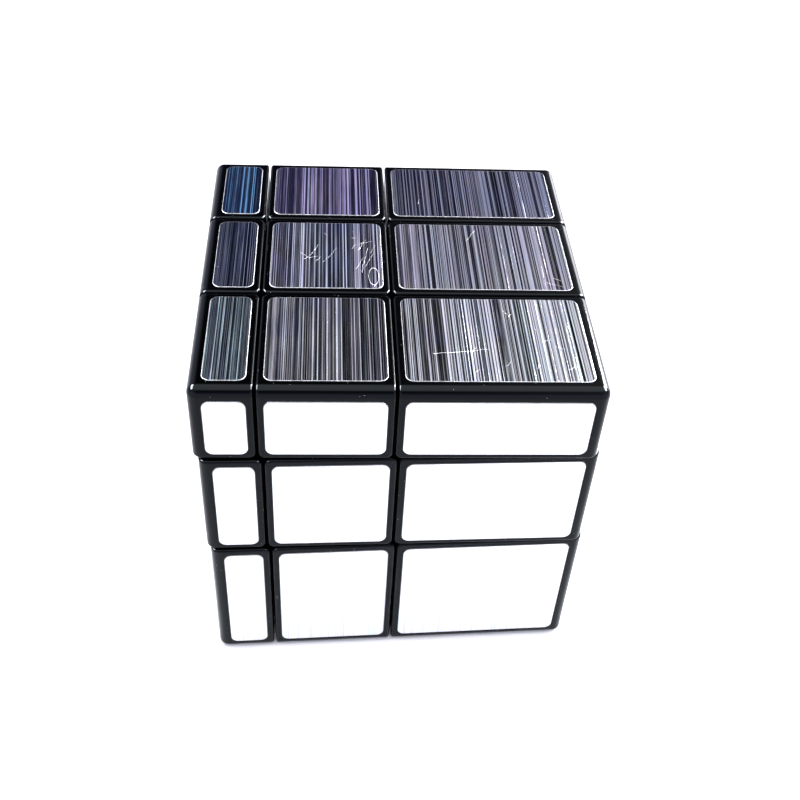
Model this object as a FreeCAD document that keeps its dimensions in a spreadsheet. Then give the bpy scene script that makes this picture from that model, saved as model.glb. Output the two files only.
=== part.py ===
import FreeCAD, Part
import itertools
import os
import Sketcher
from FreeCAD import Placement, Rotation, Vector

# Mirror block cube: a three-layer twisting puzzle whose outer layers all differ in thickness.
#
# Frame: millimetres, +Z up, the front of the cube faces -Y. The origin is the point where the
# turning axis of the top and bottom layers meets the surface that the cube stands on.
#
# Every piece is drawn about the centre of the core, where the three turning axes cross, and its
# Placement then lifts it to the core's height and turns it with its layer. A place on the puzzle
# is three numbers (x, y, z), each -1, 0 or 1: (-1, -1, 1) is the top front left corner, (0, -1, 1)
# the top front edge and (0, 0, 1) the centre of the top.
#
# The mechanism: whatever lies outside a layer's parting surface turns with that layer. The parting
# surfaces are planes between the blocks, cones where the corner necks pass, and flat again at
# the feet, which a sphere closes from outside and the core sphere from inside. All are round about
# the layer's own axis, so a layer turns freely between the others.

DIMENSIONS = {
    # the cube and its layers
    "cube_side": 57.0,
    "slice_depth": 19.0,
    "left_depth": 9.0,
    "front_depth": 21.0,
    "top_depth": 13.0,
    # how far the outer layers stand turned from the middle one, in degrees
    "top_turn": -1.4,
    "bottom_turn": 1.0,
    # blocks
    "half_gap": 0.15,
    "seam_fit": 0.05,
    "cover_wall": 1.3,
    "base_wall": 1.3,
    "end_wall": 2.0,
    # rounded edges of a block: between two outer faces, between an outer face and a cut, and
    # between two cuts
    "face_round": 1.4,
    "rim_round": 0.4,
    "corner_round": 1.0,
    # foil on the outer faces
    "foil_thickness": 0.12,
    "foil_round": 1.2,
    "foil_face_margin": 1.9,
    "foil_cut_margin": 1.13,
    # parting surfaces inside the puzzle
    "foot_sphere": 16.0,
    "core_sphere": 9.5,
    "foot_plane": 5.0,
    "dip_plane": 7.5,
    "dip_radius": 14.2,
    # necks
    "corner_neck_reach": 12.0,
    "edge_neck_reach": 12.5,
    # centre bases
    "stem_foot": 7.3,
    "plate_top": 17.15,
    "pocket_radius": 3.4,
    "pocket_floor": 9.6,
    "bore_radius": 1.58,
    # core
    "hub_radius": 5.8,
    "arm_radius": 4.0,
    "arm_reach": 7.0,
    "thread_hole_radius": 1.55,
    "thread_hole_floor": 2.3,
    # screws, washers and springs
    "screw_tip": 2.5,
    "shank_radius": 1.5,
    "washer_radius": 3.0,
    "washer_hole_radius": 1.6,
    "washer_seat": 13.3,
    "washer_thickness": 0.4,
    "head_radius": 2.8,
    "head_height": 1.6,
    "head_edge": 0.5,
    "recess_length": 3.4,
    "recess_width": 0.8,
    "recess_depth": 0.9,
    "coil_radius": 2.4,
    "wire_radius": 0.25,
    "coil_pitch": 0.7,
}

CUT = "Dims.slice_depth / 2"
# distance from the core's centre to each outer face
FACE = {
    "left": f"({CUT} + Dims.left_depth)",
    "right": f"(Dims.cube_side - {CUT} - Dims.left_depth)",
    "front": f"({CUT} + Dims.front_depth)",
    "back": f"(Dims.cube_side - {CUT} - Dims.front_depth)",
    "top": f"({CUT} + Dims.top_depth)",
    "bottom": f"(Dims.cube_side - {CUT} - Dims.top_depth)",
}
SIDES = (("left", "right"), ("front", "back"), ("bottom", "top"))
CORE_HEIGHT = f"{FACE['bottom']} + Dims.foil_thickness"
LAYERS = {1: "top_layer", 0: "middle_layer", -1: "bottom_layer"}
TURN = {"top_layer": "Dims.top_turn", "middle_layer": "0", "bottom_layer": "Dims.bottom_turn"}
PLACES = [place for place in itertools.product((-1, 0, 1), repeat=3) if any(place)]
KINDS = {1: "centre", 2: "edge", 3: "corner"}
# which radius an edge of a block has, by how many outer faces it lies on
EDGE_ROUNDS = ("corner_round", "rim_round", "face_round")
SCREW_PLACES = [place for place in PLACES if sum(map(abs, place)) == 1]

doc = FreeCAD.newDocument("mirror_block_cube")
nodes = {}


def value_of(expression):
    """The number that an expression on the sheet's dimensions stands for."""
    return float(doc.Dims.evalExpression(expression))


def fill_sheet():
    """Put the driving dimensions into a spreadsheet, one aliased cell each."""
    sheet = doc.addObject("Spreadsheet::Sheet", "Dims")
    for row, (alias, value) in enumerate(DIMENSIONS.items(), start=1):
        sheet.set(f"A{row}", alias)
        sheet.set(f"B{row}", str(value))
        sheet.setAlias(f"B{row}", alias)
    doc.recompute()


# ---------------------------------------------------------------- building blocks


def bound(kind, name, **expressions):
    """Add an object whose named properties follow expressions; __ stands for a dot."""
    thing = doc.addObject(kind, name)
    for prop, expression in expressions.items():
        thing.setExpression(prop.replace("__", "."), str(expression))
    return thing


def box(name, spans):
    """A box from three (low, high) pairs of expressions."""
    (x0, x1), (y0, y1), (z0, z1) = spans
    return bound(
        "Part::Box",
        name,
        Placement__Base__x=x0,
        Placement__Base__y=y0,
        Placement__Base__z=z0,
        Length=f"({x1}) - ({x0})",
        Width=f"({y1}) - ({y0})",
        Height=f"({z1}) - ({z0})",
    )


def ball(name, radius):
    return bound("Part::Sphere", name, Radius=radius)


def cylinder(name, radius, low, high):
    """A cylinder on the Z axis between two heights."""
    return bound(
        "Part::Cylinder",
        name,
        Radius=radius,
        Placement__Base__z=low,
        Height=f"({high}) - ({low})",
    )


def cone(name, low, high, low_radius):
    """A 45 degree cone on the Z axis that widens upwards."""
    return bound(
        "Part::Cone",
        name,
        Placement__Base__z=low,
        Height=f"({high}) - ({low})",
        Radius1=low_radius,
        Radius2=f"({low_radius}) + ({high}) - ({low})",
    )


def cut(name, base, tool):
    result = doc.addObject("Part::Cut", name)
    result.Base = base
    result.Tool = tool
    return result


def fuse(name, *shapes):
    result = doc.addObject("Part::MultiFuse", name)
    result.Shapes = list(shapes)
    return result


def common(name, *shapes):
    result = doc.addObject("Part::MultiCommon", name)
    result.Shapes = list(shapes)
    return result


def compound(name, parts):
    result = doc.addObject("Part::Compound", name)
    result.Links = list(parts)
    return result


def rounded(name, base, radius_of):
    """Round the edges of a box; radius_of gives the radius for an edge's middle, or 0."""
    doc.recompute()
    picked = []
    for index, edge in enumerate(base.Shape.Edges, start=1):
        radius = radius_of(edge.valueAt((edge.FirstParameter + edge.LastParameter) / 2))
        if radius:
            picked.append((index, radius, radius))
    result = doc.addObject("Part::Fillet", name)
    result.Base = base
    result.Edges = picked
    return result


def quarter_turns():
    """The 24 turns that carry a cube onto itself."""
    about = [
        [Rotation(axis, angle) for angle in (0, 90, 180, 270)]
        for axis in (Vector(0, 0, 1), Vector(0, 1, 0), Vector(1, 0, 0))
    ]
    return [first * second * third for first, second, third in itertools.product(*about)]


QUARTER_TURNS = quarter_turns()


def turned(name, master, drawn_at, place):
    """A copy of a piece that is drawn at one place on the puzzle, turned to another place."""
    start, goal = Vector(*drawn_at), Vector(*place)
    turn = next(turn for turn in QUARTER_TURNS if turn.multVec(start).isEqual(goal, 1e-6))
    result = compound(name, [master])
    result.Placement = Placement(Vector(), turn)
    return result


def finished(node, thing, layer):
    """Name a finished piece and set it at the core's height, turned with its layer."""
    thing.Label = node
    thing.Placement = Placement(Vector(), Rotation(Vector(0, 0, 1), 1))
    thing.setExpression("Placement.Base.z", CORE_HEIGHT)
    thing.setExpression("Placement.Rotation.Angle", TURN[layer])
    nodes[node] = thing


# ---------------------------------------------------------------- places and spans


def name_of(place):
    """Such as top_front_left for (-1, -1, 1)."""
    words = [SIDES[axis][place[axis] > 0] for axis in (2, 1, 0) if place[axis]]
    return "_".join(words)


def kind_of(place):
    return KINDS[sum(map(abs, place))]


def span(axis, position, at_face, at_cut):
    """Where a block lies on one axis, drawn in by at_face from an outer face and by at_cut
    from a cut between layers."""
    low_side, high_side = SIDES[axis]
    if position == 0:
        return f"-{CUT} + ({at_cut})", f"{CUT} - ({at_cut})"
    if position < 0:
        return f"-{FACE[low_side]} + ({at_face})", f"-{CUT} - ({at_cut})"
    return f"{CUT} + ({at_cut})", f"{FACE[high_side]} - ({at_face})"


def spans(place, at_face, at_cut, at_side):
    """The three spans of a block; at_side is for the slice it sits across the middle of."""
    return [
        span(axis, position, at_face, at_side if position == 0 else at_cut)
        for axis, position in enumerate(place)
    ]


def outer_faces_near(place, point, reach):
    """How many of a block's outer faces lie within reach of a point of the block."""
    count = 0
    for axis, position in enumerate(place):
        if position:
            side = SIDES[axis][position > 0]
            face = position * value_of(FACE[side])
            count += abs(point[axis] - face) < reach
    return count


# ---------------------------------------------------------------- shared mechanism shapes


def room_for_feet():
    """What the middle pieces leave free: the foot sphere and the six conical dips."""
    dip = fuse(
        "dip_up",
        cone(
            "dip_cone",
            "Dims.dip_plane - Dims.half_gap",
            f"{CUT} - Dims.half_gap",
            "Dims.dip_radius",
        ),
        cylinder(
            "dip_brim",
            f"Dims.dip_radius + {CUT} - Dims.dip_plane",
            f"{CUT} - Dims.half_gap",
            CUT,
        ),
    )
    dips = [turned(f"dip_{name_of(place)}", dip, (0, 0, 1), place) for place in SCREW_PLACES]
    return fuse("room_for_feet", ball("room_ball", "Dims.foot_sphere + Dims.half_gap"), *dips)


def foot_shell(name, spans_of_foot):
    """The part of a box between the core sphere and the foot sphere."""
    inside = common(
        f"{name}_outside",
        box(f"{name}_box", spans_of_foot),
        ball(f"{name}_foot_ball", "Dims.foot_sphere - Dims.half_gap"),
    )
    return cut(name, inside, ball(f"{name}_core_ball", "Dims.core_sphere + Dims.half_gap"))


def corner_foot():
    """Foot and neck of the corner at (1, 1, 1)."""
    foot_span = ("Dims.foot_plane + Dims.half_gap", "Dims.foot_sphere")
    neck_span = ("Dims.dip_plane + Dims.half_gap", "Dims.corner_neck_reach")
    allowed = fuse(
        "neck_room_up",
        cone(
            "neck_room_cone",
            "Dims.dip_plane + Dims.half_gap",
            f"{CUT} + Dims.half_gap",
            "Dims.dip_radius",
        ),
        cylinder(
            "neck_room_brim",
            "Dims.cube_side",
            f"{CUT} + Dims.half_gap",
            "Dims.cube_side",
        ),
    )
    neck = common(
        "corner_neck",
        box("corner_neck_box", [neck_span] * 3),
        allowed,
        turned("neck_room_x", allowed, (0, 0, 1), (1, 0, 0)),
        turned("neck_room_y", allowed, (0, 0, 1), (0, 1, 0)),
    )
    return fuse("corner_foot", foot_shell("corner_foot_shell", [foot_span] * 3), neck)


def edge_foot():
    """Foot and neck of the edge at (0, 1, 1)."""
    across = ("-Dims.foot_plane + Dims.half_gap", "Dims.foot_plane - Dims.half_gap")
    foot_span = ("Dims.foot_plane + Dims.half_gap", "Dims.foot_sphere")
    neck_span = (f"{CUT} + Dims.half_gap", "Dims.edge_neck_reach")
    return fuse(
        "edge_foot",
        foot_shell("edge_foot_shell", [across, foot_span, foot_span]),
        box("edge_neck", [across, neck_span, neck_span]),
    )


def centre_base(room):
    """Base of the top centre: plate, stem, spring pocket and screw bore."""
    half_width = f"({CUT} - Dims.half_gap - Dims.cover_wall - Dims.seam_fit)"
    across = (f"-{half_width}", half_width)
    plate = cut(
        "centre_plate",
        box("centre_plate_box", [across, across, (CUT, "Dims.plate_top")]),
        room,
    )
    stem = cylinder(
        "centre_stem",
        "Dims.foot_plane - Dims.half_gap",
        "Dims.stem_foot",
        "Dims.plate_top",
    )
    pocket = cylinder("centre_pocket", "Dims.pocket_radius", "Dims.pocket_floor", "Dims.cube_side")
    bore = cylinder("centre_bore", "Dims.bore_radius", "0", "Dims.cube_side")
    return cut(
        "centre_base",
        fuse("centre_solid", plate, stem),
        fuse("centre_hole", pocket, bore),
    )


# ---------------------------------------------------------------- covers and bases


def cover(place, room):
    """The outer shell of a block: its outer faces and, across a middle slice, its side walls."""
    name = name_of(place)
    block = box(f"{name}_block", spans(place, "0", "Dims.half_gap", "Dims.half_gap"))

    def radius_of(point):
        radius = EDGE_ROUNDS[outer_faces_near(place, point, DIMENSIONS["half_gap"])]
        return DIMENSIONS[radius]

    hollow = box(
        f"{name}_hollow",
        spans(place, "Dims.cover_wall", "-Dims.half_gap", "Dims.half_gap + Dims.cover_wall"),
    )
    shell = cut(f"{name}_shell", rounded(f"{name}_rounded", block, radius_of), hollow)
    if kind_of(place) == "corner":
        return shell
    return cut(f"{name}_cover", shell, room)


def base(place, room, foot, foot_place):
    """The inner part of a corner or edge: walls along the cuts, carried by its foot."""
    name = name_of(place)
    outline = box(
        f"{name}_base_box",
        spans(
            place,
            "Dims.cover_wall + Dims.seam_fit",
            "Dims.half_gap",
            "Dims.half_gap + Dims.cover_wall + Dims.seam_fit",
        ),
    )
    hollow = box(
        f"{name}_base_hollow_box",
        spans(
            place,
            "0",
            "Dims.half_gap + Dims.base_wall",
            "Dims.half_gap + Dims.cover_wall + Dims.seam_fit + Dims.end_wall",
        ),
    )
    if kind_of(place) == "corner":
        reach = DIMENSIONS["cover_wall"] + DIMENSIONS["base_wall"]

        def radius_of(point):
            return 0 if outer_faces_near(place, point, reach) else DIMENSIONS["corner_round"]

        outline = rounded(f"{name}_base_rounded", outline, radius_of)
    else:
        outline = cut(f"{name}_base_outline", outline, room)
        wall_ball = ball(
            f"{name}_wall_ball",
            "Dims.foot_sphere + Dims.half_gap + Dims.base_wall",
        )
        hollow = cut(f"{name}_base_hollow", hollow, wall_ball)
    tray = cut(f"{name}_tray", outline, hollow)
    own_foot = turned(f"{name}_foot", foot, foot_place, place)
    return fuse(f"{name}_base", tray, own_foot)


def build_blocks():
    """A cover and a base for each of the 26 blocks, all with a name of their own."""
    room = room_for_feet()
    feet = {"corner": (corner_foot(), (1, 1, 1)), "edge": (edge_foot(), (0, 1, 1))}
    centre = centre_base(room)
    for place in PLACES:
        kind = kind_of(place)
        layer = LAYERS[place[2]]
        label = f"{name_of(place)}_{kind}"
        if kind == "centre":
            finished(f"{label}_cap", cover(place, room), layer)
            own_base = turned(f"{label}_base_part", centre, (0, 0, 1), place)
            finished(f"{label}_base", compound(f"{label}_base_whole", [own_base]), layer)
        else:
            finished(f"{label}_cover", cover(place, room), layer)
            finished(f"{label}_base", base(place, room, *feet[kind]), layer)


# ---------------------------------------------------------------- foil


def foil(place, axis):
    """The rounded plate of foil on a block's outer face across one axis."""
    name = f"{name_of(place)}_foil_{'xyz'[axis]}"
    plate_spans = spans(
        place, "Dims.foil_face_margin", "Dims.foil_cut_margin", "Dims.foil_cut_margin"
    )
    face = FACE[SIDES[axis][place[axis] > 0]]
    raised = f"{face} + Dims.foil_thickness"
    plate_spans[axis] = (face, raised) if place[axis] > 0 else (f"-({raised})", f"-{face}")
    plate = box(f"{name}_plate", plate_spans)
    doc.recompute()
    middle = plate.Shape.BoundBox.Center

    def radius_of(point):
        between_faces = abs(point[axis] - middle[axis]) < DIMENSIONS["foil_thickness"] / 4
        return DIMENSIONS["foil_round"] if between_faces else 0

    return rounded(name, plate, radius_of)


def build_foil():
    """Foil on all 54 outer faces, grouped by the layer that carries it."""
    groups = {
        "top_layer_foil": (1, []),
        "middle_layer_foil": (0, []),
        "bottom_layer_side_foil": (-1, []),
        "bottom_face_foil": (-1, []),
    }
    for place in PLACES:
        for axis in range(3):
            if not place[axis]:
                continue
            for group, (height, foils) in groups.items():
                under = axis == 2 and place[2] < 0
                if height == place[2] and under == (group == "bottom_face_foil"):
                    foils.append(foil(place, axis))
    for group, (height, foils) in groups.items():
        finished(group, compound(f"{group}_group", foils), LAYERS[height])


# ---------------------------------------------------------------- core, screws, springs


def sketch_on(body, name, role, offset="0"):
    """A sketch on one of a body's own origin planes, lifted off it by an expression."""
    sketch = body.newObject("Sketcher::SketchObject", name)
    plane = next(plane for plane in body.Origin.OriginFeatures if plane.Role == role)
    sketch.AttachmentSupport = [(plane, "")]
    sketch.MapMode = "FlatFace"
    sketch.setExpression("AttachmentOffset.Base.z", offset)
    return sketch


def constrain(sketch, name, expression, *what):
    """Add a dimension of the given points or curves that follows an expression."""
    index = sketch.addConstraint(Sketcher.Constraint(*what, value_of(expression)))
    sketch.renameConstraint(index, name)
    sketch.setExpression(f"Constraints.{name}", expression)


def draw_circle(sketch, name, radius, across="0", up="0"):
    """A circle whose centre lies across and up from the sketch's origin."""
    centre = Vector(value_of(across), value_of(up), 0)
    circle = sketch.addGeometry(Part.Circle(centre, Vector(0, 0, 1), value_of(radius)))
    constrain(sketch, f"{name}_radius", radius, "Radius", circle)
    constrain(sketch, f"{name}_across", across, "DistanceX", -1, 1, circle, 3)
    constrain(sketch, f"{name}_up", up, "DistanceY", -1, 1, circle, 3)


def draw_outline(sketch, corners):
    """A closed outline through corners given as pairs of expressions."""
    points = [Vector(value_of(across), value_of(up), 0) for across, up in corners]
    lines = [
        sketch.addGeometry(Part.LineSegment(start, end))
        for start, end in zip(points, points[1:] + points[:1])
    ]
    for line, following in zip(lines, lines[1:] + lines[:1]):
        sketch.addConstraint(Sketcher.Constraint("Coincident", line, 2, following, 1))
    for line, (across, up) in zip(lines, corners):
        constrain(sketch, f"across_{line}", across, "DistanceX", -1, 1, line, 1)
        constrain(sketch, f"up_{line}", up, "DistanceY", -1, 1, line, 1)


def feature(body, kind, name, sketch, **settings):
    """Add a sketch-based feature to a body."""
    result = body.newObject(f"PartDesign::{kind}", name)
    result.Profile = sketch
    for setting, value in settings.items():
        setattr(result, setting, value)
    return result


def pocket(body, name, sketch, depth, **settings):
    """Cut a sketch into a body, and make sure that it takes something away."""
    doc.recompute()
    volume = body.Shape.Volume
    feature(body, "Pocket", name, sketch, **settings).setExpression("Length", depth)
    doc.recompute()
    if body.Shape.Volume > volume - 0.1:
        raise RuntimeError(f"{name} cuts nothing")


def build_core():
    """Hub with six arms, and in the end of each arm a blind hole for its screw."""
    body = doc.addObject("PartDesign::Body", "core_body")
    body.newObject("PartDesign::AdditiveSphere", "hub").setExpression("Radius", "Dims.hub_radius")
    planes = ("XY_Plane", "XZ_Plane", "YZ_Plane")
    for role in planes:
        sketch = sketch_on(body, f"arms_{role}", role)
        draw_circle(sketch, "arm", "Dims.arm_radius")
        arms = feature(body, "Pad", f"arm_pair_{role}", sketch, Midplane=True)
        arms.setExpression("Length", "2 * Dims.arm_reach")
    for role in planes:
        for sign, word in (("", "up"), ("-", "down")):
            sketch = sketch_on(body, f"hole_{word}_{role}", role, f"{sign}Dims.thread_hole_floor")
            draw_circle(sketch, "hole", "Dims.thread_hole_radius")
            pocket(
                body,
                f"thread_hole_{word}_{role}",
                sketch,
                "Dims.arm_reach",
                Reversed=sign == "",
            )
    finished("core", body, "middle_layer")


def screw():
    """Pan-head screw of the top centre, with a cross recess."""
    body = doc.addObject("PartDesign::Body", "screw")
    seat = "Dims.washer_seat + Dims.washer_thickness"
    head_top = f"{seat} + Dims.head_height"
    profile = sketch_on(body, "screw_profile", "XZ_Plane")
    draw_outline(
        profile,
        [
            ("0", "Dims.screw_tip"),
            ("Dims.shank_radius - Dims.head_edge", "Dims.screw_tip"),
            ("Dims.shank_radius", "Dims.screw_tip + Dims.head_edge"),
            ("Dims.shank_radius", seat),
            ("Dims.head_radius", seat),
            ("Dims.head_radius", f"{head_top} - Dims.head_edge"),
            ("Dims.head_radius - Dims.head_edge", head_top),
            ("0", head_top),
        ],
    )
    feature(body, "Revolution", "screw_body", profile, ReferenceAxis=(profile, ["V_Axis"]))
    long, short = "Dims.recess_length / 2", "Dims.recess_width / 2"
    recess = sketch_on(body, "recess_outline", "XY_Plane", head_top)
    draw_outline(
        recess,
        [
            (short, short),
            (short, long),
            (f"-{short}", long),
            (f"-{short}", short),
            (f"-{long}", short),
            (f"-{long}", f"-{short}"),
            (f"-{short}", f"-{short}"),
            (f"-{short}", f"-{long}"),
            (short, f"-{long}"),
            (short, f"-{short}"),
            (long, f"-{short}"),
            (long, short),
        ],
    )
    pocket(body, "recess", recess, "Dims.recess_depth")
    return body


def washer():
    """Washer under the head of the top centre's screw."""
    body = doc.addObject("PartDesign::Body", "washer")
    sketch = sketch_on(body, "washer_outline", "XY_Plane", "Dims.washer_seat")
    draw_circle(sketch, "rim", "Dims.washer_radius")
    draw_circle(sketch, "hole", "Dims.washer_hole_radius")
    disc = feature(body, "Pad", "washer_disc", sketch)
    disc.setExpression("Length", "Dims.washer_thickness")
    return body


def spring():
    """Coil spring between the top centre's pocket floor and its washer."""
    body = doc.addObject("PartDesign::Body", "spring")
    first = "Dims.pocket_floor + Dims.seam_fit + Dims.wire_radius"
    sketch = sketch_on(body, "wire_section", "XZ_Plane")
    draw_circle(sketch, "wire", "Dims.wire_radius", "Dims.coil_radius", first)
    coil = feature(body, "AdditiveHelix", "coil", sketch, ReferenceAxis=(sketch, ["V_Axis"]))
    coil.Mode = "pitch-height-angle"
    coil.setExpression("Pitch", "Dims.coil_pitch")
    coil.setExpression("Height", f"Dims.washer_seat - Dims.wire_radius - ({first})")
    return body


def build_fasteners():
    """Six equal sets of screw, washer and spring, one on each arm of the core."""
    for group, master in (
        ("core_screws", screw()),
        ("spring_washers", washer()),
        ("tension_springs", spring()),
    ):
        copies = [
            turned(f"{name_of(place)}_{master.Name}", master, (0, 0, 1), place)
            for place in SCREW_PLACES
        ]
        finished(group, compound(f"{group}_group", copies), "middle_layer")


# ---------------------------------------------------------------- the whole puzzle


def check():
    """Stop if any object failed or any finished piece has no valid solid."""
    for thing in doc.Objects:
        if "Invalid" in thing.State or "Error" in thing.State:
            raise RuntimeError(f"{thing.Name} failed: {thing.State}")
    for node, thing in nodes.items():
        shape = thing.Shape
        if shape.isNull() or not shape.isValid() or not shape.Solids:
            raise RuntimeError(f"{node} is not a valid solid")


def write():
    os.makedirs("parts", exist_ok=True)
    for node, thing in nodes.items():
        thing.Shape.exportStep(os.path.join("parts", f"{node}.step"))


fill_sheet()
build_core()
build_fasteners()
build_blocks()
build_foil()
doc.recompute()
check()
write()
for node, thing in sorted(nodes.items()):
    print(f"{node}: {len(thing.Shape.Solids)} solids, {thing.Shape.Volume:.1f} mm3")
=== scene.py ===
import math

import bmesh
import bpy
from mathutils import Matrix, Vector


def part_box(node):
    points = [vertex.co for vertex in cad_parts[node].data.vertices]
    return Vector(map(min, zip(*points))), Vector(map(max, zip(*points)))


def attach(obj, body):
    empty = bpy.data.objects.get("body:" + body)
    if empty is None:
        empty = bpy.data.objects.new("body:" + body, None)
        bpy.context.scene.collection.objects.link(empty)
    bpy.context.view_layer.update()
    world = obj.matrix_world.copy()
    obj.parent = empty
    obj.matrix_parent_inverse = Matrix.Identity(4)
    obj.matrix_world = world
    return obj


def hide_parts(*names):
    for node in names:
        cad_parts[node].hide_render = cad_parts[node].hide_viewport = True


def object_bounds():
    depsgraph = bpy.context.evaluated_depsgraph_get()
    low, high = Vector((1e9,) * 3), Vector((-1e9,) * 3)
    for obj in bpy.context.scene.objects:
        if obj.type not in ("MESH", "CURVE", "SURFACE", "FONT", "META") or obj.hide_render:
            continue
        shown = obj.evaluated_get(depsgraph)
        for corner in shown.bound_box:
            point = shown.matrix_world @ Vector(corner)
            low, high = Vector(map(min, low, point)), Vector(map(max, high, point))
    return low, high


# Looks for the mirror block cube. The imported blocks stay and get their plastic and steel, and
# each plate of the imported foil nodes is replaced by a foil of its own, with a rolled rim and a
# brushed mirror finish. Lengths are metres, and MM turns millimetres into metres.

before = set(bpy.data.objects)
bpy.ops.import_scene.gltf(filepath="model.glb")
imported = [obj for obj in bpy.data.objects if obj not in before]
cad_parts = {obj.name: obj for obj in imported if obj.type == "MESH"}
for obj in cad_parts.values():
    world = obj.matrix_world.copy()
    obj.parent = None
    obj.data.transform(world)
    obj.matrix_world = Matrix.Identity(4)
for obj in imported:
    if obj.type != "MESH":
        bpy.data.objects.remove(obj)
cad_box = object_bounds()

MM = 0.001
SLICE = 19 * MM                  # depth of the middle slices, and the spacing of the grooves

FOIL_NODES = {
    "top_layer": ["top_layer_foil"],
    "middle_layer": ["middle_layer_foil"],
    "bottom_layer": ["bottom_layer_side_foil", "bottom_face_foil"],
}
WELD = 0.001 * MM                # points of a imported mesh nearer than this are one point
FACES_FRONT = -0.9               # a face looks to the front when its normal's y is below this
ORDER_DIGITS = 5                 # decimals of a metre by which the plates are put in order
FOIL_CORNER = 1.2 * MM           # corner radius of a foil
CORNER_STEPS = 8
RIM = [                          # profile of a foil's edge: inset, and share of the thickness
    (0.0, 0.0),
    (0.0, 0.4),
    (0.02 * MM, 0.75),
    (0.05 * MM, 0.95),
    (0.09 * MM, 1.0),
]
GRAIN_SHIFT = 41.3               # each foil reads the brushed pattern this much further along

# Brushed lines of a foil, in three sizes: how many there are to a millimetre, how far they tilt the
# mirror sideways, and an offset that gives each size its own random numbers.
BRUSHING = {
    "hair": (13.0, 0.30, 0.0),
    "line": (7.0, 0.44, 17.0),
    "band": (3.2, 0.14, 53.0),
}
SWAY_TILT = 0.10                 # slow change of the sideways tilt across a whole foil
WAVE_TILT = 0.03                 # slow tilt along the lines, either way
MIRROR_ROUGHNESS = (0.05, 0.11)

# Scales of the slow noises in the film: across the lines, along them, and through the foil.
FADING_SCALE = (2.4, 0.12, 1.0)  # where the lines tilt the mirror less
SWAY_SCALE = (0.22, 0.05, 1.0)
HUE_SCALE = (0.55, 0.03, 1.0)

CAMERA_PLACE = Vector((-3.39, -138.38, 156.47)) * MM
CAMERA_TURN = [math.radians(angle) for angle in (46.99, -2.77, -4.02)]
CAMERA_LENS = 50.05              # millimetres, as the sensor is
CAMERA_SENSOR = 36.0

FLOOR_SIZE = 6.0
FLOOR_DROP = 0.01 * MM
FLOOR_COLOURS = ((0.82, 0.82, 0.83), (0.86, 0.86, 0.87))

PLACES = {
    "x": ("left", "middle", "right"),
    "y": ("front", "middle", "back"),
    "z": ("bottom", "middle", "top"),
}

# Base colour of the mirror film, from foil to foil: on the nine foils of the top face by row and
# then by column, on the front face, and on the other faces.
TOP_TINTS = {
    "back": {
        "left": (0.19, 0.42, 0.67),
        "middle": (0.48, 0.42, 0.62),
        "right": (0.28, 0.28, 0.34),
    },
    "middle": {
        "left": (0.26, 0.29, 0.41),
        "middle": (0.76, 0.77, 0.90),
        "right": (0.48, 0.47, 0.51),
    },
    "front": {
        "left": (0.57, 0.71, 0.77),
        "middle": (0.63, 0.63, 0.68),
        "right": (0.74, 0.765, 0.80),
    },
}
# The front foils are lighter than the foils of the other faces: painted light.
FRONT_TINT_PAINTED_LIGHT = (0.82, 0.82, 0.83)
SIDE_TINT = (0.42, 0.43, 0.45)
COOL = (0.90, 0.98, 1.0)         # the film drifts between these two shares of its tint
WARM = (1.0, 0.94, 0.99)

# How dark the painted shade on the darkest brushed lines is: by top face column, and elsewhere.
TOP_STREAK_SHADE = {"left": 0.92, "middle": 0.88, "right": 0.25}
FRONT_STREAK_SHADE = 0.25
SIDE_STREAK_SHADE = 0.80
STREAK_SHADE_COLOUR = (0.10, 0.11, 0.15)   # painted shade on the darkest brushed lines
RIM_COLOURS = ((0.08, 0.083, 0.09), (0.16, 0.163, 0.17))
RIM_ROUGHNESS = (0.38, 0.55)

# Dust: the spacing of its places and the radius of a speck, in millimetres.
FOIL_DUST = (1.0, 0.045)
FOIL_DUST_SHARE = 0.05           # share of the places that have a speck
PLASTIC_DUST = (0.7, 0.032)
DUST_COLOUR = (0.55, 0.56, 0.58)

# Scratches: their half widths in millimetres. Every third one is bold, starting with the first.
FINE_SCRATCH = 0.05
BOLD_SCRATCH = 0.07
BOLD_EVERY = 3
SCRATCH_BEND = 0.6               # how far a scratch wanders off its straight line
SCRATCH_TAPER = 0.6              # share of its width that a scratch loses by its end
SCRATCH_HEART = 0.3              # share of its width within which it is at full strength
MARK_STRENGTH = 0.60             # how far dust, scratches and lint hide the film
MARK_COLOUR = (0.95, 0.95, 0.96)
MARK_ROUGHNESS = 0.4

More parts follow.
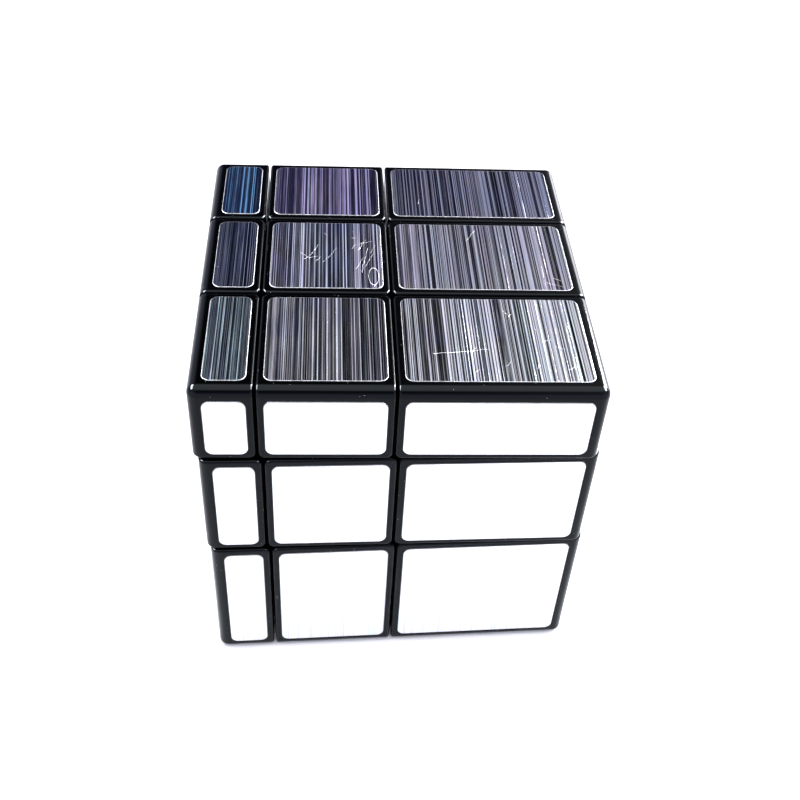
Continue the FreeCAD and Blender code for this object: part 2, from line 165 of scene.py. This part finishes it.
# Scratches and rubs on the top face, from point to point in millimetres from the foil's middle.
TOP_MARKS = {
    ("middle", "middle"): [
        ((-3.9, 0.4), (-2.3, -1.1)),
        ((-3.4, -1.2), (-1.9, 0.3)),
        ((-2.6, -0.9), (-1.3, -0.4)),
        ((-2.2, 0.2), (-1.2, 2.7)),
        ((-0.6, -1.9), (0.1, -0.7)),
        ((0.3, -0.9), (1.5, 1.8)),
        ((-1.6, -1.7), (-0.9, -0.6)),
        ((3.9, 4.3), (4.6, 4.5)),
        ((3.9, 1.5), (4.4, 2.9)),
        ((4.8, 1.2), (5.9, 3.9)),
        ((5.0, 2.8), (7.0, 3.6)),
        ((4.4, -3.6), (5.6, -0.6)),
        ((5.2, -4.4), (6.3, 1.8)),
        ((5.9, -3.0), (7.2, 0.9)),
        ((6.6, 0.4), (7.4, 2.6)),
        ((7.2, -7.6), (6.5, -8.9)),
        ((-0.4, 5.6), (0.1, 4.9)),
    ],
    ("front", "right"): [
        ((-8.9, -3.3), (-1.1, -2.3)),
        ((-3.7, -3.4), (-2.9, -1.7)),
        ((1.8, 6.3), (2.3, 5.2)),
        ((2.5, 5.0), (2.9, 5.6)),
        ((0.9, -5.9), (1.6, -5.0)),
        ((-3.4, -7.0), (-2.9, -6.4)),
        ((6.6, -0.6), (8.1, -0.1)),
        ((9.4, -6.6), (10.9, -5.2)),
        ((8.2, -1.6), (9.6, -2.2)),
        ((5.1, -6.3), (5.6, -5.4)),
    ],
    ("middle", "right"): [
        ((-0.5, 6.8), (-1.9, 4.2)),
        ((9.2, -6.6), (11.4, -7.4)),
        ((10.4, -5.4), (11.6, -6.1)),
    ],
    ("back", "right"): [((-8.9, -3.4), (-8.6, -1.9))],
}
LOOP_PLACE = (7.0, -5.4)         # a loop of lint on the middle foil of the top
LOOP_SIZE = (0.75, 2.1)
LOOP_LINE = 0.035                # half width of the lint, as a share of the loop's size

PLASTIC_IOR = 1.2                # low, so that the sides of the blocks stay black

# Light of the room. Each glow grows from nothing to its full strength as one part of the
# direction, to the right, to the left or up, goes from the first number to the second.
GLOWS = {
    "overhead": ("up", 0.74, 0.93, 4.2),
    "skirting": ("up", 0.20, 0.04, 1.2),
    "right_wall": ("right", 0.01, 0.42, 1.15),
    "left_wall": ("left", 0.14, 0.48, 1.25),
}
# The rest of it: two ends of a range of directions, and the values at those ends.
FRONT_GLOW = (0.0, 0.6, 0.0, 1.8)
FRONT_FADE = (0.55, 0.20, 0.15, 1.0)    # share of the front glow, which is less higher up
HAZE_GLOW = (0.66, 0.48, 0.0, 0.08)     # a blue haze all round, fading higher up
HAZE_COLOUR = (0.38, 0.40, 1.0, 1.0)
LOW_TONE = (0.72, 0.75, 1.0)
HIGH_TONE = (0.98, 0.98, 1.0)
TONE_RISE = (0.25, 0.72)                # from the low tone to the high tone
FAINTEST = 0.006                        # light that comes from every direction
BACKDROP = 1.1                          # white that only the camera itself sees

# Softboxes: direction from the cube, distance, width, height, radiance, and whether it lights
# the floor as well as the glints.
SOFTBOXES = {
    "box_right": ((0.70, 0.19, 0.69), 0.60, 0.50, 0.21, 150.0, False),
    "box_left": ((-0.70, 0.19, 0.69), 0.60, 0.50, 0.21, 130.0, False),
    "line_right": ((0.70, 0.58, 0.41), 0.60, 0.14, 0.18, 220.0, False),
    "strip_right": ((0.80, 0.58, 0.20), 0.60, 0.44, 0.22, 10.0, True),
}


# Shader nodes

def add(tree, kind, inputs=None, **settings):
    """A node whose inputs are numbers, colours or the sockets of other nodes."""
    made = tree.nodes.new("ShaderNode" + kind)
    for name, value in settings.items():
        setattr(made, name, value)
    for name, value in (inputs or {}).items():
        if isinstance(value, bpy.types.NodeSocket):
            tree.links.new(value, made.inputs[name])
        else:
            made.inputs[name].default_value = value
    return made


def maths(tree, operation, *values):
    """The result of a sum on numbers or sockets."""
    inputs = dict(enumerate(values))
    return add(tree, "Math", inputs, operation=operation).outputs[0]


def spread(tree, value, low, high, to_low=0.0, to_high=1.0):
    """A value carried from one range to another with soft ends."""
    inputs = {
        "Value": value,
        "From Min": low,
        "From Max": high,
        "To Min": to_low,
        "To Max": to_high,
    }
    return add(tree, "MapRange", inputs, interpolation_type="SMOOTHSTEP").outputs[0]


def mixed(tree, share, first, second):
    """A colour between two colours."""
    made = add(tree, "Mix", {"Factor": share}, data_type="RGBA")
    for socket, colour in ((made.inputs[6], first), (made.inputs[7], second)):
        if isinstance(colour, bpy.types.NodeSocket):
            tree.links.new(colour, socket)
        else:
            socket.default_value = (*colour, 1.0)
    return made.outputs[2]


def scaled(tree, vector, scale):
    """A vector multiplied axis by axis."""
    inputs = {0: vector, 1: scale}
    return add(tree, "VectorMath", inputs, operation="MULTIPLY").outputs[0]


def noise(tree, vector, scale, detail=2.0, roughness=0.5):
    """Smooth noise from 0 to 1."""
    inputs = {"Vector": vector, "Scale": scale, "Detail": detail, "Roughness": roughness}
    return add(tree, "TexNoise", inputs).outputs["Fac"]


def joined(tree, mask, other):
    """Where either of two masks is set."""
    return maths(tree, "MAXIMUM", mask, other)


def scratch(tree, place, start, end, half_width):
    """1 along a straight scratch that fades to its sides and tapers to its end."""
    run = (end[0] - start[0], end[1] - start[1], 0.0)
    from_start = add(tree, "VectorMath", {0: place, 1: (*start, 0.0)}, operation="SUBTRACT")
    reach = add(tree, "VectorMath", {0: from_start.outputs[0], 1: run}, operation="DOT_PRODUCT")
    share = maths(tree, "DIVIDE", reach.outputs["Value"], run[0] ** 2 + run[1] ** 2)
    share = add(tree, "Clamp", {"Value": share}).outputs[0]
    foot = add(tree, "VectorMath", {0: run, "Scale": share}, operation="SCALE").outputs[0]
    gap = add(tree, "VectorMath", {0: from_start.outputs[0], 1: foot}, operation="DISTANCE")
    taper = maths(tree, "MULTIPLY_ADD", share, -SCRATCH_TAPER * half_width, half_width)
    heart = maths(tree, "MULTIPLY", taper, SCRATCH_HEART)
    return spread(tree, gap.outputs["Value"], taper, heart)


def lint_loop(tree, place, middle, size, half_width):
    """1 along a thin oval loop."""
    moved = add(tree, "VectorMath", {0: place, 1: (*middle, 0.0)}, operation="SUBTRACT")
    circle = scaled(tree, moved.outputs[0], (1 / size[0], 1 / size[1], 0.0))
    distance = add(tree, "VectorMath", {0: circle}, operation="LENGTH").outputs["Value"]
    off_line = maths(tree, "ABSOLUTE", maths(tree, "SUBTRACT", distance, 1.0))
    return maths(tree, "LESS_THAN", off_line, half_width)


def millimetres(tree):
    """Where a point is on its own object, in millimetres."""
    place = add(tree, "TexCoord").outputs["Object"]
    return scaled(tree, place, (1 / MM, 1 / MM, 1 / MM))


def blank_material(name):
    """A material with one Principled shader, its node tree and that shader."""
    material = bpy.data.materials.new(name)
    material.use_nodes = True
    tree = material.node_tree
    tree.nodes.clear()
    shader = add(tree, "BsdfPrincipled")
    output = add(tree, "OutputMaterial")
    tree.links.new(shader.outputs[0], output.inputs["Surface"])
    return material, tree, shader


def specks(tree, place, spacing, radius, share):
    """1 on small round specks of dust, of which only a share of the places has one."""
    cells = add(tree, "TexVoronoi", {"Vector": place, "Scale": 1 / spacing})
    picked = add(tree, "SeparateColor", {"Color": cells.outputs["Color"]}).outputs[0]
    near = maths(tree, "LESS_THAN", cells.outputs["Distance"], radius / spacing)
    kept = maths(tree, "LESS_THAN", picked, share)
    return maths(tree, "MULTIPLY", near, kept)


# Materials

def moulded_plastic(name, colour, smooth, rough, dust_share, tint):
    """Injection-moulded plastic: fine orange peel, patchy gloss, faint rubs and dust.

    Its roughness goes from smooth to rough in patches, and tint colours what it reflects.
    """
    material, tree, shader = blank_material(name)
    place = millimetres(tree)
    peel = noise(tree, place, 1.6, 3.0)
    grain = noise(tree, place, 14.0, 2.0)
    patches = noise(tree, place, 0.22, 3.0)
    rubs = noise(tree, scaled(tree, place, (9.0, 0.7, 0.9)), 1.0, 4.0, 0.7)
    wear_and_streak_shade = spread(tree, rubs, 0.56, 0.72)
    dust = specks(tree, place, *PLASTIC_DUST, dust_share)
    light = tuple(min(1.0, part * 1.4 + 0.0003) for part in colour)
    shade = mixed(tree, patches, colour, light)
    dusty = mixed(tree, dust, shade, DUST_COLOUR)
    tree.links.new(dusty, shader.inputs["Base Color"])
    gloss = spread(tree, patches, 0.3, 0.7, smooth, rough)
    rubbed = maths(tree, "MULTIPLY_ADD", wear_and_streak_shade, 0.06, gloss)
    tree.links.new(rubbed, shader.inputs["Roughness"])
    height = maths(tree, "MULTIPLY_ADD", peel, 4.0, grain)
    bump = add(tree, "Bump", {"Height": height, "Strength": 0.06, "Distance": 0.012 * MM})
    tree.links.new(bump.outputs[0], shader.inputs["Normal"])
    shader.inputs["IOR"].default_value = PLASTIC_IOR
    shader.inputs["Specular Tint"].default_value = (*tint, 1.0)
    return material


def bright_steel(name, colour, rough, pits_per_mm):
    """Bright steel with fine shallow pits and slight staining."""
    material, tree, shader = blank_material(name)
    place = millimetres(tree)
    pits = noise(tree, place, pits_per_mm, 3.0, 0.6)
    stains = noise(tree, place, 0.5, 3.0)
    dark = tuple(part * 0.72 for part in colour)
    tree.links.new(mixed(tree, stains, dark, colour), shader.inputs["Base Color"])
    gloss = spread(tree, pits, 0.3, 0.7, rough - 0.08, rough + 0.12)
    tree.links.new(gloss, shader.inputs["Roughness"])
    bump = add(tree, "Bump", {"Height": pits, "Strength": 0.3, "Distance": 0.01 * MM})
    tree.links.new(bump.outputs[0], shader.inputs["Normal"])
    shader.inputs["Metallic"].default_value = 1.0
    return material


def streaks(tree, grain, per_mm, offset):
    """A random number from 0 to 1 for each brushed line, which runs the length of the foil."""
    across = add(tree, "SeparateXYZ", {0: grain}).outputs[0]
    shifted = maths(tree, "MULTIPLY_ADD", across, per_mm, offset)
    lines = add(tree, "TexVoronoi", {"W": shifted, "Scale": 1.0}, voronoi_dimensions="1D")
    return add(tree, "SeparateColor", {"Color": lines.outputs["Color"]}).outputs[0]


def foil_marks(tree, grain, marks, loop):
    """Dust, scratches and lint on one foil, as a mask."""
    place = scaled(tree, millimetres(tree), (1.0, 1.0, 0.0))
    wobble = add(tree, "TexNoise", {"Vector": place, "Scale": 0.9, "Detail": 2.0})
    inputs = {0: wobble.outputs["Color"], 1: (SCRATCH_BEND, SCRATCH_BEND, 0.0), 2: place}
    bent = add(tree, "VectorMath", inputs, operation="MULTIPLY_ADD").outputs[0]
    mask = specks(tree, grain, *FOIL_DUST, FOIL_DUST_SHARE)
    for number, ends in enumerate(marks):
        half_width = FINE_SCRATCH if number % BOLD_EVERY else BOLD_SCRATCH
        start, end = [[value + SCRATCH_BEND / 2 for value in point] for point in ends]
        mask = joined(tree, mask, scratch(tree, bent, start, end, half_width))
    if loop:
        mask = joined(tree, mask, lint_loop(tree, place, LOOP_PLACE, LOOP_SIZE, LOOP_LINE))
    return maths(tree, "MULTIPLY", mask, MARK_STRENGTH)


def brushed_normal(tree, grain, lines):
    """The direction that the mirror faces, tilted sideways by its lines and a little lengthways."""
    sideways = 0.0
    for name, (_, tilt, _) in BRUSHING.items():
        off_middle = maths(tree, "SUBTRACT", lines[name], 0.5)
        sideways = maths(tree, "MULTIPLY_ADD", off_middle, tilt, sideways)
    fading = noise(tree, scaled(tree, grain, FADING_SCALE), 1.0, 2.0)
    sideways = maths(tree, "MULTIPLY", sideways, spread(tree, fading, 0.2, 0.8, 0.7, 1.25))
    sway = noise(tree, scaled(tree, grain, SWAY_SCALE), 1.0, 2.0)
    sway = maths(tree, "SUBTRACT", sway, 0.5)
    sideways = maths(tree, "MULTIPLY_ADD", sway, SWAY_TILT, sideways)
    wave = noise(tree, grain, 0.16, 1.0)
    lengthways = spread(tree, wave, 0.3, 0.7, -WAVE_TILT, WAVE_TILT)
    red = maths(tree, "MULTIPLY_ADD", sideways, 0.5, 0.5)
    green = maths(tree, "MULTIPLY_ADD", lengthways, 0.5, 0.5)
    colour = add(tree, "CombineColor", {0: red, 1: green, 2: 1.0}).outputs[0]
    return add(tree, "NormalMap", {"Color": colour, "Strength": 1.0}, uv_map="grain").outputs[0]


def film_colour(tree, grain, lines, tint, wear_and_streak_shade):
    """The film's drifting tint, with painted shade on its darkest brushed lines."""
    cool = [part * share for part, share in zip(tint, COOL)]
    warm = [part * share for part, share in zip(tint, WARM)]
    hue = noise(tree, scaled(tree, grain, HUE_SCALE), 1.0, 4.0, 0.7)
    film = mixed(tree, spread(tree, hue, 0.36, 0.64), cool, warm)
    # Painted shade: the film goes dark along the darkest brushed lines, in place of darker
    # reflections.
    streak_shade_pick = maths(tree, "MULTIPLY", lines["line"], lines["hair"])
    return mixed(tree, spread(tree, streak_shade_pick, 0.02, 0.14, wear_and_streak_shade, 0.0), film, STREAK_SHADE_COLOUR)


def mirror_foil(name, tint, wear_and_streak_shade, marks=(), loop=False):
    """Brushed silver film: each line tilts the mirror, so it shows another part of the room."""
    material, tree, shader = blank_material(name)
    grain = add(tree, "UVMap", uv_map="grain").outputs[0]
    lines = {
        size: streaks(tree, grain, per_mm, offset)
        for size, (per_mm, _, offset) in BRUSHING.items()
    }
    marked = foil_marks(tree, grain, marks, loop)
    # The film's colour holds painted shade on its darkest brushed lines.
    film = mixed(tree, marked, film_colour(tree, grain, lines, tint, wear_and_streak_shade), MARK_COLOUR)
    gloss = spread(tree, lines["hair"], 0.0, 1.0, *MIRROR_ROUGHNESS)
    rough = maths(tree, "MULTIPLY_ADD", marked, MARK_ROUGHNESS, gloss)
    tree.links.new(brushed_normal(tree, grain, lines), shader.inputs["Normal"])
    tree.links.new(film, shader.inputs["Base Color"])
    tree.links.new(rough, shader.inputs["Roughness"])
    shader.inputs["Metallic"].default_value = 1.0
    return material


def foil_rim():
    """The rolled edge of a foil, where the film is stretched and frosted."""
    material, tree, shader = blank_material("foil_rim")
    frost = noise(tree, millimetres(tree), 2.5, 3.0)
    tree.links.new(mixed(tree, frost, *RIM_COLOURS), shader.inputs["Base Color"])
    tree.links.new(spread(tree, frost, 0.3, 0.7, *RIM_ROUGHNESS), shader.inputs["Roughness"])
    shader.inputs["Metallic"].default_value = 1.0
    return material


# Foils

def layer_turn(node):
    """How far a layer stands turned about the vertical, from its plates that face the front."""
    facing = Vector((0.0, 0.0, 0.0))
    for polygon in node.data.polygons:
        if polygon.normal.y < FACES_FRONT:
            facing += polygon.normal * polygon.area
    return math.atan2(facing.x, -facing.y)


def plates(node):
    """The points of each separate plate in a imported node."""
    shape = bmesh.new()
    shape.from_mesh(node.data)
    bmesh.ops.remove_doubles(shape, verts=shape.verts, dist=WELD)
    waiting = set(shape.verts)
    found = []
    while waiting:
        growing = [waiting.pop()]
        plate = []
        while growing:
            point = growing.pop()
            plate.append(point.co.copy())
            for edge in point.link_edges:
                other = edge.other_vert(point)
                if other in waiting:
                    waiting.remove(other)
                    growing.append(other)
        found.append(plate)
    shape.free()
    return found


def box_of(points):
    """Lowest and highest corner of some points."""
    low = Vector([min(point[axis] for point in points) for axis in range(3)])
    high = Vector([max(point[axis] for point in points) for axis in range(3)])
    return low, high


def place_word(axis, value, centre):
    """Which slice a point is in along an axis, in words."""
    step = 0
    if value - centre > SLICE / 2:
        step = 1
    if value - centre < -SLICE / 2:
        step = -1
    return PLACES["xyz"[axis]][step + 1]


def lowest_corner(box):
    """The rounded place of a box's lowest corner, to put boxes in order by."""
    return tuple(round(value, ORDER_DIGITS) for value in box[0])


def rounded_outline(width, height, radius):
    """Points of a rectangle with rounded corners, anticlockwise."""
    outline = []
    for corner, (side, end) in enumerate(((1, 1), (-1, 1), (-1, -1), (1, -1))):
        middle = Vector((side * (width / 2 - radius), end * (height / 2 - radius)))
        for step in range(CORNER_STEPS + 1):
            angle = math.pi / 2 * (corner + step / CORNER_STEPS)
            outline.append(middle + radius * Vector((math.cos(angle), math.sin(angle))))
    return outline


def foil_mesh(name, width, height, thickness, number):
    """One foil, lying on z = 0 with its face up: a rolled rim round a flat field."""
    shape = bmesh.new()
    rings = []
    for inset, share in RIM:
        outline = rounded_outline(width - 2 * inset, height - 2 * inset, FOIL_CORNER - inset)
        rings.append([shape.verts.new((*point, share * thickness)) for point in outline])
    count = len(rings[0])
    for lower, upper in zip(rings, rings[1:]):
        for i in range(count):
            j = (i + 1) % count
            side = shape.faces.new((lower[i], lower[j], upper[j], upper[i]))
            side.smooth = True
            side.material_index = 1
    shape.faces.new(rings[-1])
    shape.faces.new(list(reversed(rings[0])))
    grain = shape.loops.layers.uv.new("grain")
    for face in shape.faces:
        for loop in face.loops:
            across, along = loop.vert.co.x / MM, loop.vert.co.y / MM
            loop[grain].uv = (across + number * GRAIN_SHIFT, along + number * GRAIN_SHIFT)
    mesh = bpy.data.meshes.new(name)
    shape.to_mesh(mesh)
    shape.free()
    return mesh


def make_foil(low, high, turn, body, node, core, number, finishes):
    """A foil in place of one plate, given the plate's box in its layer's own directions."""
    size = high - low
    middle = (low + high) / 2
    thin = min(range(3), key=lambda axis: size[axis])
    out = Vector((0.0, 0.0, 0.0))
    out[thin] = 1.0 if middle[thin] > core[thin] else -1.0
    along = Vector((0.0, 1.0, 0.0)) if thin == 2 else Vector((0.0, 0.0, 1.0))
    across = along.cross(out)
    width = abs(size.dot(across))
    height = abs(size.dot(along))
    words = [place_word(axis, middle[axis], core[axis]) for axis in range(3)]
    face = words[thin]
    others = [words[axis] for axis in (2, 1, 0) if axis != thin]
    name = "_".join(["foil", face, *others])
    mesh = foil_mesh(name, width, height, size[thin], number)
    foil = bpy.data.objects.new(name, mesh)
    bpy.context.scene.collection.objects.link(foil)
    foot = middle - out * size[thin] / 2
    stand = Matrix((across, along, out)).transposed().to_4x4()
    foil.matrix_world = Matrix.Rotation(turn, 4, "Z") @ Matrix.Translation(foot) @ stand
    finish = tuple(others) if face == "top" else face
    mesh.materials.append(finishes.get(finish, finishes["side"]))
    mesh.materials.append(finishes["rim"])
    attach(foil, body)
    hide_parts(node)


def make_foils():
    """Every foil of the cube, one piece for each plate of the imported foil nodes."""
    low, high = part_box("core")
    core = (low + high) / 2
    # The foils' colours hold painted shade on their darkest brushed lines.
    finishes = {
        # The front foils' lighter colour is painted light.
        "front": mirror_foil("mirror_foil_front", FRONT_TINT_PAINTED_LIGHT, FRONT_STREAK_SHADE),
        "side": mirror_foil("mirror_foil_side", SIDE_TINT, SIDE_STREAK_SHADE),
        "rim": foil_rim(),
    }
    for row, tints in TOP_TINTS.items():
        for column, tint in tints.items():
            name = f"mirror_foil_{row}_{column}"
            marks = TOP_MARKS.get((row, column), ())
            central = (row, column) == ("middle", "middle")
            # The top foils' colours hold painted shade on their darkest brushed lines.
            finishes[row, column] = mirror_foil(name, tint, TOP_STREAK_SHADE[column], marks, central)
    number = 0
    for body, nodes in FOIL_NODES.items():
        turn = layer_turn(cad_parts[nodes[0]])
        upright = Matrix.Rotation(-turn, 3, "Z")
        for node in nodes:
            boxes = [
                box_of([upright @ point for point in plate])
                for plate in plates(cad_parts[node])
            ]
            for low, high in sorted(boxes, key=lowest_corner):
                make_foil(low, high, turn, body, node, core, number, finishes)
                number += 1


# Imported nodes

def dress(node, material):
    """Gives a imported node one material."""
    node.data.materials.clear()
    node.data.materials.append(material)


def dress_nodes():
    """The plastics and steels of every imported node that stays."""
    cover = moulded_plastic(
        "cover_plastic",
        colour=(0.0002, 0.0003, 0.0005),
        smooth=0.07,
        rough=0.13,
        dust_share=0.40,
        tint=(0.80, 0.92, 1.0),
    )
    base = moulded_plastic(
        "base_plastic",
        colour=(0.001, 0.0012, 0.0015),
        smooth=0.26,
        rough=0.38,
        dust_share=0.10,
        tint=(1.0, 1.0, 1.0),
    )
    core = moulded_plastic(
        "core_plastic",
        colour=(0.62, 0.61, 0.57),
        smooth=0.32,
        rough=0.46,
        dust_share=0.05,
        tint=(1.0, 1.0, 1.0),
    )
    finishes = {
        "core": core,
        "core_screws": bright_steel("screw_steel", (0.62, 0.61, 0.59), 0.30, 2.0),
        "tension_springs": bright_steel("spring_steel", (0.55, 0.54, 0.52), 0.26, 6.0),
        "spring_washers": bright_steel("washer_steel", (0.70, 0.70, 0.68), 0.34, 3.0),
    }
    for name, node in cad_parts.items():
        if name in finishes:
            dress(node, finishes[name])
        elif name.endswith("_base"):
            dress(node, base)
        elif not name.endswith("_foil"):
            dress(node, cover)


# Studio

def make_floor():
    """A plain pale floor."""
    mesh = bpy.data.meshes.new("floor")
    half = FLOOR_SIZE / 2
    corners = [(-half, -half, 0), (half, -half, 0), (half, half, 0), (-half, half, 0)]
    mesh.from_pydata(corners, [], [(0, 1, 2, 3)])
    floor = bpy.data.objects.new("floor", mesh)
    floor.location.z = cad_box[0].z - FLOOR_DROP
    bpy.context.scene.collection.objects.link(floor)
    material, tree, shader = blank_material("pale_floor")
    mottle = noise(tree, millimetres(tree), 0.05, 3.0)
    tree.links.new(mixed(tree, mottle, *FLOOR_COLOURS), shader.inputs["Base Color"])
    shader.inputs["Roughness"].default_value = 0.9
    shader.inputs["Specular IOR Level"].default_value = 0.1
    mesh.materials.append(material)


def make_room():
    """Soft light from every side: bright overhead and near the ground, dim between at the back."""
    world = bpy.data.worlds.new("room")
    world.use_nodes = True
    tree = world.node_tree
    tree.nodes.clear()
    way = add(tree, "TexCoord").outputs["Generated"]
    right, back, up = add(tree, "SeparateXYZ", {0: way}).outputs
    parts = {"right": right, "left": maths(tree, "MULTIPLY", right, -1.0), "up": up}
    total = FAINTEST
    for part, start, end, strength in GLOWS.values():
        glow = spread(tree, parts[part], start, end, 0.0, strength)
        total = maths(tree, "ADD", glow, total)
    front = maths(tree, "MULTIPLY", back, -1.0)
    front_glow = spread(tree, front, *FRONT_GLOW)
    total = maths(tree, "MULTIPLY_ADD", front_glow, spread(tree, up, *FRONT_FADE), total)
    tone = mixed(tree, spread(tree, up, *TONE_RISE), LOW_TONE, HIGH_TONE)
    plain = add(tree, "Background", {"Color": tone, "Strength": total})
    haze = spread(tree, up, *HAZE_GLOW)
    blue = add(tree, "Background", {"Color": HAZE_COLOUR, "Strength": haze})
    light = add(tree, "AddShader", {0: plain.outputs[0], 1: blue.outputs[0]})
    white = add(tree, "Background", {"Color": (1.0, 1.0, 1.0, 1.0), "Strength": BACKDROP})
    seen = add(tree, "LightPath").outputs["Is Camera Ray"]
    both = add(tree, "MixShader", {0: seen, 1: light.outputs[0], 2: white.outputs[0]})
    output = add(tree, "OutputWorld")
    tree.links.new(both.outputs[0], output.inputs["Surface"])
    bpy.context.scene.world = world


def make_softboxes():
    """Soft lamps beside and behind the cube, for the glints on its rounded edges."""
    low, high = cad_box
    middle = (low + high) / 2
    for name, settings in SOFTBOXES.items():
        direction, distance, width, height, radiance, lights_floor = settings
        data = bpy.data.lights.new(name, "AREA")
        data.shape = "RECTANGLE"
        data.size = width
        data.size_y = height
        data.energy = radiance * math.pi * width * height
        lamp = bpy.data.objects.new(name, data)
        way = Vector(direction).normalized()
        lamp.location = middle + way * distance
        lamp.rotation_euler = way.to_track_quat("Z", "Y").to_euler()
        lamp.visible_diffuse = lights_floor
        bpy.context.scene.collection.objects.link(lamp)


def make_camera():
    """The camera, above the front face and looking down on the cube."""
    data = bpy.data.cameras.new("camera")
    data.lens = CAMERA_LENS
    data.sensor_width = CAMERA_SENSOR
    data.clip_start = 5 * MM
    camera = bpy.data.objects.new("camera", data)
    camera.location = CAMERA_PLACE
    camera.rotation_euler = CAMERA_TURN
    bpy.context.scene.collection.objects.link(camera)
    bpy.context.scene.camera = camera


bpy.context.scene.view_settings.view_transform = "Standard"
make_camera()
make_floor()
make_room()
make_softboxes()
dress_nodes()
make_foils()
